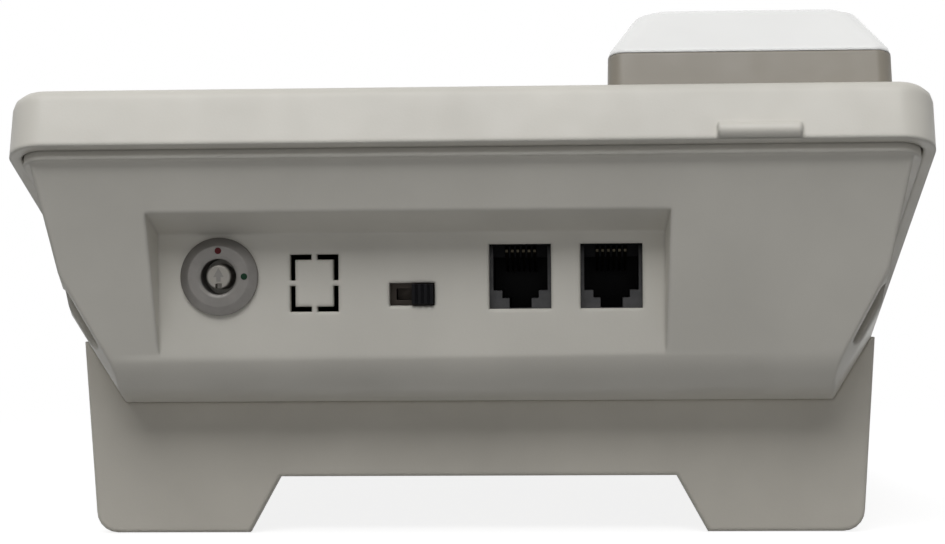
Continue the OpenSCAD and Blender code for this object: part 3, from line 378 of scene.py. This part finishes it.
# Painted shade: the contacts are coloured nearly black, as they look deep in the sockets.
finish["contact_brass"] = metal("contact_brass", (0.045, 0.039, 0.028), 0.45, 6000, 0.01 * MM)
finish["speaker"] = metal("speaker", (0.1, 0.1, 0.1), 0.5, 2500, 0.03 * MM)
print("Finishes so far:", len(finish))

# %% [markdown]
# A circuit board is green lacquer over copper tracks, and the tracks show as paler bands. Tracks drawn one
# by one would be lost inside the housing, so the joints of a brick pattern stand for them.

# %% The boards' lacquer
material, tree, shader, place = start_material("board")
bands = tree.nodes.new("ShaderNodeTexBrick")
bands.inputs["Scale"].default_value = 220
bands.inputs["Mortar Size"].default_value = 0.03
bands.inputs["Color1"].default_value = (0.03, 0.15, 0.05, 1)
bands.inputs["Color2"].default_value = (0.035, 0.17, 0.06, 1)
bands.inputs["Mortar"].default_value = (0.09, 0.28, 0.1, 1)
tree.links.new(place, bands.inputs["Vector"])
tree.links.new(bands.outputs["Color"], shader.inputs["Base Color"])
tree.links.new(ramp(tree, noise(tree, place, 200), 0.25, 0.4), shader.inputs["Roughness"])
grain(tree, shader, noise(tree, place, 2500), 0.2, 0.03 * MM)
finish["board"] = material
print("Board finish:", material.name)

# %% [markdown]
# The display's window is clear plastic: light passes through it, and faint smears change its gloss. With
# that, every slot of the record has a finish, and each construction node gets its own. The nodes inside the
# housing keep it.

# %% The clear window, and a finish for every node
material, tree, shader, place = start_material("lens")
shader.inputs["Transmission Weight"].default_value = 1.0
shader.inputs["IOR"].default_value = 1.49
clear = two_tone(tree, ramp(tree, noise(tree, place, 60), 0, 1), (0.86, 0.89, 0.87), (0.92, 0.94, 0.93))
tree.links.new(clear, shader.inputs["Base Color"])
tree.links.new(ramp(tree, noise(tree, place, 500, 4), 0.02, 0.09), shader.inputs["Roughness"])
grain(tree, shader, noise(tree, place, 900), 0.05, 0.01 * MM)
finish["lens"] = material
for node in nodes:
    nodes[node].data.materials.clear()
    nodes[node].data.materials.append(finish[slot_of[node]])
print("Every construction node has its finish:", len(nodes))

# %% [markdown]
# The base is a deep tray with a recessed socket panel. On the real one the panel's rim is rounded, so that
# the mould's core can be drawn out, and the holes for the sockets, the switch and the lock have broken
# edges. The rim gets a wide bevel and the holes a fine one, each picked by its place.

# %% The base
PANEL_Y = 72.2026 * MM
RIM_Y = 81.2 * MM
RIM_Z = 59.8 * MM


def panel_rim(middle):
    """The upper edge of the recess, where it breaks through the leaning rear wall."""
    return abs(middle.z - RIM_Z) < 0.3 * MM and abs(middle.y - RIM_Y) < 0.3 * MM


def panel_hole(middle):
    """The openings in the panel's face, clear of the recess's walls."""
    inside = -34 * MM < middle.x < 56.5 * MM and 40 * MM < middle.z < 56.5 * MM
    return inside and abs(middle.y - PANEL_Y) < 0.2 * MM


base = copy_of("base_shell")
print("Panel rim edges:", bevel(base, 0.6, segments=3, sharp=30, where=panel_rim))
print("Edges of holes:", bevel(base, 0.25, segments=2, sharp=34, where=panel_hole))
smooth(base)
stand_for(base, "base_shell", finish["housing_plastic"])

# %% [markdown]
# The upper housing hangs over the base like a lid. Its holes for the keys and the display and the handset's
# bay have small radii at the deck, where a finger would feel them. In the deck's own frame those are simply
# the highest edges.

# %% The upper housing
lid = copy_of("top_shell")
deck_top = max((DECK_BACK @ point.co).z for point in lid.data.vertices)


def on_deck(middle):
    """The edges of the openings in the deck."""
    return (DECK_BACK @ middle).z > deck_top - 0.1 * MM


print("Deck edges:", bevel(lid, 0.3, segments=3, sharp=34, where=on_deck))
smooth(lid)
stand_for(lid, "top_shell", finish["housing_plastic"])

# %% [markdown]
# The stand is one shell moulding with two legs. The outline of its rear is rounded below the line where the
# base rests on it; above that line a bevel folded faces at the cut-out for the base, so there the finish
# alone softens the edges. The feet are rubber, and soft rubber is rounded all over.

# %% The stand and the feet
def rear_outline(middle):
    """The outer edge of the stand's rear, below the line where the base rests on it."""
    return middle.y > 56 * MM and middle.z < 24.5 * MM


stand = copy_of("stand")
print("Stand edges:", bevel(stand, 0.6, segments=3, sharp=30, where=rear_outline))
smooth(stand)
stand_for(stand, "stand", finish["stand_plastic"])
feet = copy_of("front_feet")
print("Feet edges:", bevel(feet, 0.8, segments=3, sharp=40))
smooth(feet)
stand_for(feet, "front_feet", finish["foot_rubber"])

# %% [markdown]
# The handset is a tray closed by a glossy white crown; the tray's dark grey is painted shade. A fine groove
# runs round where the two meet, and the bevels of both pieces make it. The tray's triangles aren't joined
# into broad faces, because its rim then folded when it was bevelled.

# %% The handset
HANDSET_X = -50 * MM
RIM_DEPTH = 1.2 * MM

tray = copy_of("handset_lower_shell", broad=False)
tray_points = [DECK_BACK @ point.co for point in tray.data.vertices]
tray_side = max(abs(point.x - HANDSET_X) for point in tray_points)
tray_end = max(abs(point.y) for point in tray_points)
seam = max(point.z for point in tray_points if abs(point.y) > tray_end - 0.1 * MM)


def at_seam(middle):
    """The outer rim of the tray, where the crown sits on it."""
    local = DECK_BACK @ middle
    outside = abs(local.x - HANDSET_X) > tray_side - RIM_DEPTH or abs(local.y) > tray_end - RIM_DEPTH
    return outside and abs(local.z - seam) < 0.1 * MM


print("Tray edges:", bevel(tray, 0.3, segments=3, sharp=34, where=at_seam))
smooth(tray)
stand_for(tray, "handset_lower_shell", finish["handset_grey"])
crown = copy_of("handset_upper_shell")
print("Crown edges:", bevel(crown, 0.3, segments=3, sharp=40))
smooth(crown, 20)
stand_for(crown, "handset_upper_shell", finish["handset_white"])

# %% [markdown]
# The line sockets are black inside and grey round their mouths. The black deep in and just under the panel
# is painted shade, darker than the sockets' own black, where the socket's depth and the panel's edge shade
# it. Two fades, one inwards and one upwards, say how much of the grey shows.

# %% The line sockets' plastic
def fade_along(tree, place, axis, black_at, grey_at):
    """0 at one place along an axis and 1 at another, in millimetres, with an even change between them."""
    parts = tree.nodes.new("ShaderNodeSeparateXYZ")
    tree.links.new(place, parts.inputs["Vector"])
    fade = tree.nodes.new("ShaderNodeMapRange")
    fade.inputs["From Min"].default_value = black_at * MM
    fade.inputs["From Max"].default_value = grey_at * MM
    tree.links.new(parts.outputs[axis], fade.inputs["Value"])
    return fade.outputs["Result"]


def times(tree, first, second):
    """The product of two values."""
    product = tree.nodes.new("ShaderNodeMath")
    product.operation = "MULTIPLY"
    tree.links.new(first, product.inputs[0])
    tree.links.new(second, product.inputs[1])
    return product.outputs["Value"]


# Painted shade: the black deep in each line socket and just under the panel stands for shade there; round
# the mouth the plastic is grey.
PAINTED_SHADE_BLACK = (0.003, 0.003, 0.0035)
MOUTH_GREY = (0.112, 0.112, 0.116)
line_socket_plastic, tree, shader, place = start_material("line_socket_plastic")
clear_of_painted_shade = times(tree, fade_along(tree, place, "Y", 67.5, 69.8), fade_along(tree, place, "Z", 53.6, 51.6))
grey_share = times(tree, clear_of_painted_shade, ramp(tree, noise(tree, place, 700, 3), 0.8, 1))
tree.links.new(two_tone(tree, grey_share, PAINTED_SHADE_BLACK, MOUTH_GREY), shader.inputs["Base Color"])
tree.links.new(ramp(tree, noise(tree, place, POLISH_SCALE), 0.44, 0.56), shader.inputs["Roughness"])
shader.inputs["Specular IOR Level"].default_value = 0.05
grain(tree, shader, noise(tree, place, 2500), 0.35, 0.04 * MM)
print("Socket finish:", line_socket_plastic.name)

# %% [markdown]
# Small pieces sit on or behind the panel, and the cord sockets are in the housing's side and the handset's
# front end. Their edges are only just broken, with a bevel of about a tenth of a millimetre: without it
# they would catch no light. The lock's plug is worn brighter than its barrel.

# %% Sockets, switch and lock
sockets_and_switch = ["line_socket_out", "line_socket_in", "mode_switch", "mode_knob", "base_cord_socket",
                      "handset_cord_socket"]
for node in sockets_and_switch:
    piece = copy_of(node)
    bevel(piece, 0.12, segments=2, sharp=40)
    smooth(piece)
    # The line sockets get the plastic with painted shade deep inside and under the panel.
    painted_shade_socket = node.startswith("line_socket")
    stand_for(piece, node, line_socket_plastic if painted_shade_socket else finish[slot_of[node]])
bright_pin = metal("bright_pin", (0.28, 0.265, 0.24), 0.45, 5000, 0.02 * MM, bare=0.4)
for node, sheen in [("lock_barrel", finish["lock_chrome"]), ("lock_plug", bright_pin)]:
    piece = copy_of(node)
    bevel(piece, 0.15, segments=2, sharp=24)
    smooth(piece, 30)
    stand_for(piece, node, sheen)
print("Sockets and switch pieces:", len(sockets_and_switch), "and two lock pieces")

# %% [markdown]
# Keys are caps with a rounded top, so only the upper rim of each is bevelled. Every cap is a copy of its
# own node, because each rides on a body of its own and is pressed by itself.

# %% The keys
KEY_TOP = 11.4 + 2.4


def cap_edge(middle):
    """The upper rim of a key cap."""
    return (DECK_BACK @ middle).z > (KEY_TOP - 0.05) * MM


keys = [node for node in nodes if node.startswith("key_")]
for node in keys:
    cap = copy_of(node)
    bevel(cap, 0.9, segments=4, sharp=40, where=cap_edge)
    smooth(cap, 40)
    stand_for(cap, node, finish[slot_of[node]])
print("Key caps:", len(keys))

# %% [markdown]
# One digit or sign is printed on each dialling key, and a plus and a minus on the two loudness keys. No
# image texture is used here, so a text curve is turned into a mesh and laid a hair's breadth above the cap.
# It rides on the key's body and so moves with it.

# %% Prints on the keys
PRINT_SIZE = 6 * MM
PRINT_GAP = 0.02

ink = plastic("print_ink", (0.05, 0.05, 0.055), 0.5, mottle=0.2)
pale_ink = plastic("pale_print_ink", (0.75, 0.75, 0.74), 0.5, mottle=0.04)
signs = {"key_star": "*", "key_0": "0", "key_hash": "#", "key_quieter": "-", "key_louder": "+"}
for digit in range(1, 10):
    signs["key_" + str(digit)] = str(digit)
for node in keys:
    if node in signs:
        low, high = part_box(node)
        middle = DECK_BACK @ ((low + high) / 2)
        bpy.ops.object.select_all(action="DESELECT")
        bpy.ops.object.text_add()
        mark = bpy.context.object
        mark.name = node + "_print"
        mark.data.body = signs[node]
        mark.data.size = PRINT_SIZE
        mark.data.align_x = "CENTER"
        mark.data.align_y = "CENTER"
        mark.data.resolution_u = 4
        bpy.ops.object.convert(target="MESH")
        mark.matrix_world = DECK @ Matrix.Translation((middle.x, middle.y, (KEY_TOP + PRINT_GAP) * MM))
        bpy.ops.object.transform_apply(location=True, rotation=True, scale=True)
        soft = slot_of[node] == "soft_key_plastic"
        settle(mark, body_of[node], pale_ink if soft else ink)
print("Prints:", len(signs))

# %% [markdown]
# A display's clear window has a dark border printed on its back, which hides the edges of the glass below.
# A flat plate of the window's size is inset, and its middle is deleted: the rim that stays is the print.

# %% The display's border
BORDER_MARGIN = 0.6 * MM
BORDER_WIDTH = 3.2 * MM
BORDER_LIFT = 0.08 * MM


def local_box(node):
    """Lowest and highest corner of a node in the deck's frame, in metres."""
    places = [DECK_BACK @ corner.co for corner in nodes[node].data.vertices]
    low = Vector([min(place[i] for place in places) for i in range(3)])
    high = Vector([max(place[i] for place in places) for i in range(3)])
    return low, high


low, high = local_box("display_lens")
bpy.ops.object.select_all(action="DESELECT")
bpy.ops.mesh.primitive_plane_add(size=1)
border = bpy.context.object
border.name = "display_border"
border.scale = (high.x - low.x - BORDER_MARGIN, high.y - low.y - BORDER_MARGIN, 1)
border_place = Matrix.Translation(((low.x + high.x) / 2, (low.y + high.y) / 2, low.z + BORDER_LIFT))
border.matrix_world = DECK @ border_place @ border.matrix_basis
bpy.ops.object.transform_apply(location=True, rotation=True, scale=True)
bpy.ops.object.mode_set(mode="EDIT")
bpy.ops.mesh.select_mode(type="FACE")
bpy.ops.mesh.select_all(action="SELECT")
bpy.ops.mesh.inset(thickness=BORDER_WIDTH)
bpy.ops.mesh.delete(type="FACE")
bpy.ops.object.mode_set(mode="OBJECT")
settle(border, "housing", plastic("border_print", (0.03, 0.033, 0.036), 0.4, mottle=0.2))
print("Border faces:", len(border.data.polygons))

# %% [markdown]
# The lock shows where its plug points: a red and a green dot of paint on the flange, at the two ends of the
# quarter turn. A drop of enamel is a flat disc with a soft edge, so a thin cylinder is bevelled.

# %% Dots on the lock
LOCK_X = 45.9 * MM
LOCK_Z = 48.3 * MM
DOT_REACH = 4.7 * MM
FACING_REAR = (math.pi / 2, 0, 0)


def paint_dot(name, x, z, colour):
    """A drop of enamel on the lock's flange."""
    bpy.ops.object.select_all(action="DESELECT")
    bpy.ops.mesh.primitive_cylinder_add(vertices=24, radius=0.6 * MM, depth=0.12 * MM,
                                        location=(x, PANEL_Y + 1.84 * MM, z), rotation=FACING_REAR)
    dot = bpy.context.object
    dot.name = name
    bpy.ops.object.transform_apply(location=True, rotation=True, scale=True)
    bevel(dot, 0.05, segments=2, sharp=40)
    smooth(dot)
    settle(dot, "housing", plastic(name + "_enamel", colour, 0.45, mottle=0.06, gleam=0.12))


paint_dot("lock_red_dot", LOCK_X, LOCK_Z + DOT_REACH, (0.085, 0.008, 0.011))
paint_dot("lock_green_dot", LOCK_X - DOT_REACH, LOCK_Z, (0.006, 0.032, 0.015))
print("Lock dots made")

# %% [markdown]
# An arrow on the plug points at one dot or the other. A three-sided cylinder is its head and a flat block
# its stem; joined and bevelled they are one piece, which rides on the plug and turns with it.

# %% The arrow on the plug
ARROW_Y = PANEL_Y + 1.41 * MM
ARROW_HEIGHT = 0.06 * MM

bpy.ops.object.select_all(action="DESELECT")
bpy.ops.mesh.primitive_cylinder_add(vertices=3, radius=1.1 * MM, depth=ARROW_HEIGHT,
                                    location=(LOCK_X, ARROW_Y, LOCK_Z + 0.5 * MM), rotation=FACING_REAR)
arrow = bpy.context.object
arrow.name = "lock_arrow"
bpy.ops.object.transform_apply(location=True, rotation=True, scale=True)
bpy.ops.mesh.primitive_cube_add(size=1, location=(LOCK_X, ARROW_Y, LOCK_Z - 0.45 * MM))
stem = bpy.context.object
stem.scale = (0.8 * MM, ARROW_HEIGHT, 0.9 * MM)
bpy.ops.object.transform_apply(location=True, rotation=True, scale=True)
stem.select_set(True)
arrow.select_set(True)
bpy.context.view_layer.objects.active = arrow
bpy.ops.object.join()
bevel(arrow, 0.02, segments=2, sharp=40)
settle(arrow, "lock_plug", finish["lock_chrome"])
print("Arrow faces:", len(arrow.data.polygons))

# %% [markdown]
# The camera stands behind the phone at the height of its socket panel, a little to one side, as in the
# picture. Its place and its angles come from a fit to the picture. A camera looks along its own -Z, so the
# three axes are worked out first and put into one matrix.

# %% Camera
YAW = math.radians(2.82)
PITCH = math.radians(-0.12)
ROLL = math.radians(-0.44)
CAMERA_PLACE = (-0.0210, 0.4963, 0.0497)
FOCAL_PIXELS = 2349
PICTURE_WIDTH = 945
SENSOR_WIDTH = 36

ahead = Vector((math.sin(YAW) * math.cos(PITCH), -math.cos(YAW) * math.cos(PITCH), math.sin(PITCH)))
right = Vector((-math.cos(YAW), -math.sin(YAW), 0))
up = right.cross(ahead)
turned_right = right * math.cos(ROLL) + up * math.sin(ROLL)
turned_up = up * math.cos(ROLL) - right * math.sin(ROLL)
camera_data = bpy.data.cameras.new("camera")
camera_data.sensor_width = SENSOR_WIDTH
camera_data.sensor_fit = "HORIZONTAL"
camera_data.lens = FOCAL_PIXELS * SENSOR_WIDTH / PICTURE_WIDTH
camera_data.clip_start = 0.01
camera = bpy.data.objects.new("camera", camera_data)
bpy.context.scene.collection.objects.link(camera)
axes = Matrix((turned_right, turned_up, -ahead)).transposed().to_4x4()
camera.matrix_world = Matrix.Translation(CAMERA_PLACE) @ axes
bpy.context.scene.camera = camera
print("Camera lens:", round(camera_data.lens, 2))

# %% [markdown]
# The room is white to the eye but doesn't flood the phone with light. The Light Path node makes that
# possible: a ray from the camera, or one in a reflection or through clear plastic, sees white, and the rays
# that light the phone see a dimmer room.

# %% What the camera and the reflections see
def sees_white(tree):
    """1 for rays from the camera, reflected or through clear plastic; 0 for rays that light the phone."""
    path = tree.nodes.new("ShaderNodeLightPath")
    value = path.outputs["Is Camera Ray"]
    for name in ["Is Glossy Ray", "Is Transmission Ray"]:
        larger = tree.nodes.new("ShaderNodeMath")
        larger.operation = "MAXIMUM"
        tree.links.new(value, larger.inputs[0])
        tree.links.new(path.outputs[name], larger.inputs[1])
        value = larger.outputs["Value"]
    return value


print("The white of the room is for the eye only")

# %% [markdown]
# The table looks white and keeps a pale shadow of the phone, but throws little light back up. Near the
# phone it is a dull surface with a glow that only the eye sees. Further off it fades into plain white, so
# it has no horizon.

# %% The table's white
TABLE_TONE = (0.33, 0.33, 0.33)
TABLE_TONE_SEEN = (0.34, 0.34, 0.34)
TABLE_GLOW = 0.86
FADE_FROM = 0.14
FADE_TO = 0.36

table_white, tree, shader, place = start_material("table_white")
seen = sees_white(tree)
tree.links.new(two_tone(tree, seen, TABLE_TONE, TABLE_TONE_SEEN), shader.inputs["Base Color"])
shader.inputs["Roughness"].default_value = 0.9
shader.inputs["Specular IOR Level"].default_value = 0.0
shader.inputs["Emission Color"].default_value = (1, 1, 1, 1)
glow = tree.nodes.new("ShaderNodeMath")
glow.operation = "MULTIPLY"
glow.inputs[1].default_value = TABLE_GLOW
tree.links.new(seen, glow.inputs[0])
tree.links.new(glow.outputs["Value"], shader.inputs["Emission Strength"])
distance = tree.nodes.new("ShaderNodeVectorMath")
distance.operation = "LENGTH"
tree.links.new(place, distance.inputs[0])
fade = tree.nodes.new("ShaderNodeMapRange")
fade.interpolation_type = "SMOOTHSTEP"
fade.inputs["From Min"].default_value = FADE_FROM
fade.inputs["From Max"].default_value = FADE_TO
tree.links.new(distance.outputs["Value"], fade.inputs["Value"])
white = tree.nodes.new("ShaderNodeEmission")
mixed = tree.nodes.new("ShaderNodeMixShader")
tree.links.new(times(tree, fade.outputs["Result"], seen), mixed.inputs[0])
tree.links.new(shader.outputs["BSDF"], mixed.inputs[1])
tree.links.new(white.outputs["Emission"], mixed.inputs[2])
tree.links.new(mixed.outputs["Shader"], tree.nodes["Material Output"].inputs["Surface"])
print("The table is plain white beyond", FADE_TO, "m")

# %% [markdown]
# The table itself is one large plane, a fifth of a millimetre below the feet so that no two faces share a
# place. It belongs to the stage and isn't part of the phone.

# %% Table
bpy.ops.object.select_all(action="DESELECT")
bpy.ops.mesh.primitive_plane_add(size=6, location=(0, 0, -0.2 * MM))
table = bpy.context.object
table.name = "table"
table.data.materials.append(table_white)
print("Table placed at", round(table.location.z / MM, 2), "mm")

# %% [markdown]
# The room gives a faint grey glow all round, which keeps the shaded sides from going black. To the eye and
# in reflections it is white, as behind the table.

# %% Room
ROOM_GLOW = 0.115
ROOM_SEEN = 1.0

world = bpy.data.worlds.new("white_room")
bpy.context.scene.world = world
world.use_nodes = True
tree = world.node_tree
room = tree.nodes["Background"]
level = tree.nodes.new("ShaderNodeMix")
level.inputs["A"].default_value = ROOM_GLOW
level.inputs["B"].default_value = ROOM_SEEN
tree.links.new(sees_white(tree), level.inputs["Factor"])
tree.links.new(level.outputs["Result"], room.inputs["Strength"])
room.inputs["Color"].default_value = (1, 1, 1, 1)
print("Room glow:", ROOM_GLOW)

# %% [markdown]
# One large soft box hangs high up behind the camera, and a weak fill stands beside it. A large lamp gives
# soft shadows. From above it leaves the overhanging rear wall in half shade, as it is on a desk under a
# lamp.

# %% Lamps
PHONE_MIDDLE = (0, 0.05, 0.05)


def soft_light(name, place, target, size, power):
    """A square soft box that looks at a point."""
    lamp_data = bpy.data.lights.new(name, "AREA")
    lamp_data.size = size
    lamp_data.energy = power
    lamp = bpy.data.objects.new(name, lamp_data)
    bpy.context.scene.collection.objects.link(lamp)
    lamp.location = place
    lamp.rotation_euler = (Vector(target) - Vector(place)).to_track_quat("-Z", "Y").to_euler()


soft_light("top_light", (0.1, 0.74, 1.11), PHONE_MIDDLE, size=1.0, power=12.8)
soft_light("camera_fill", (-0.1, 1.5, 0.35), PHONE_MIDDLE, size=0.6, power=0.3)
bpy.context.scene.view_settings.view_transform = "Standard"
print("Lights:", len(bpy.data.lights))
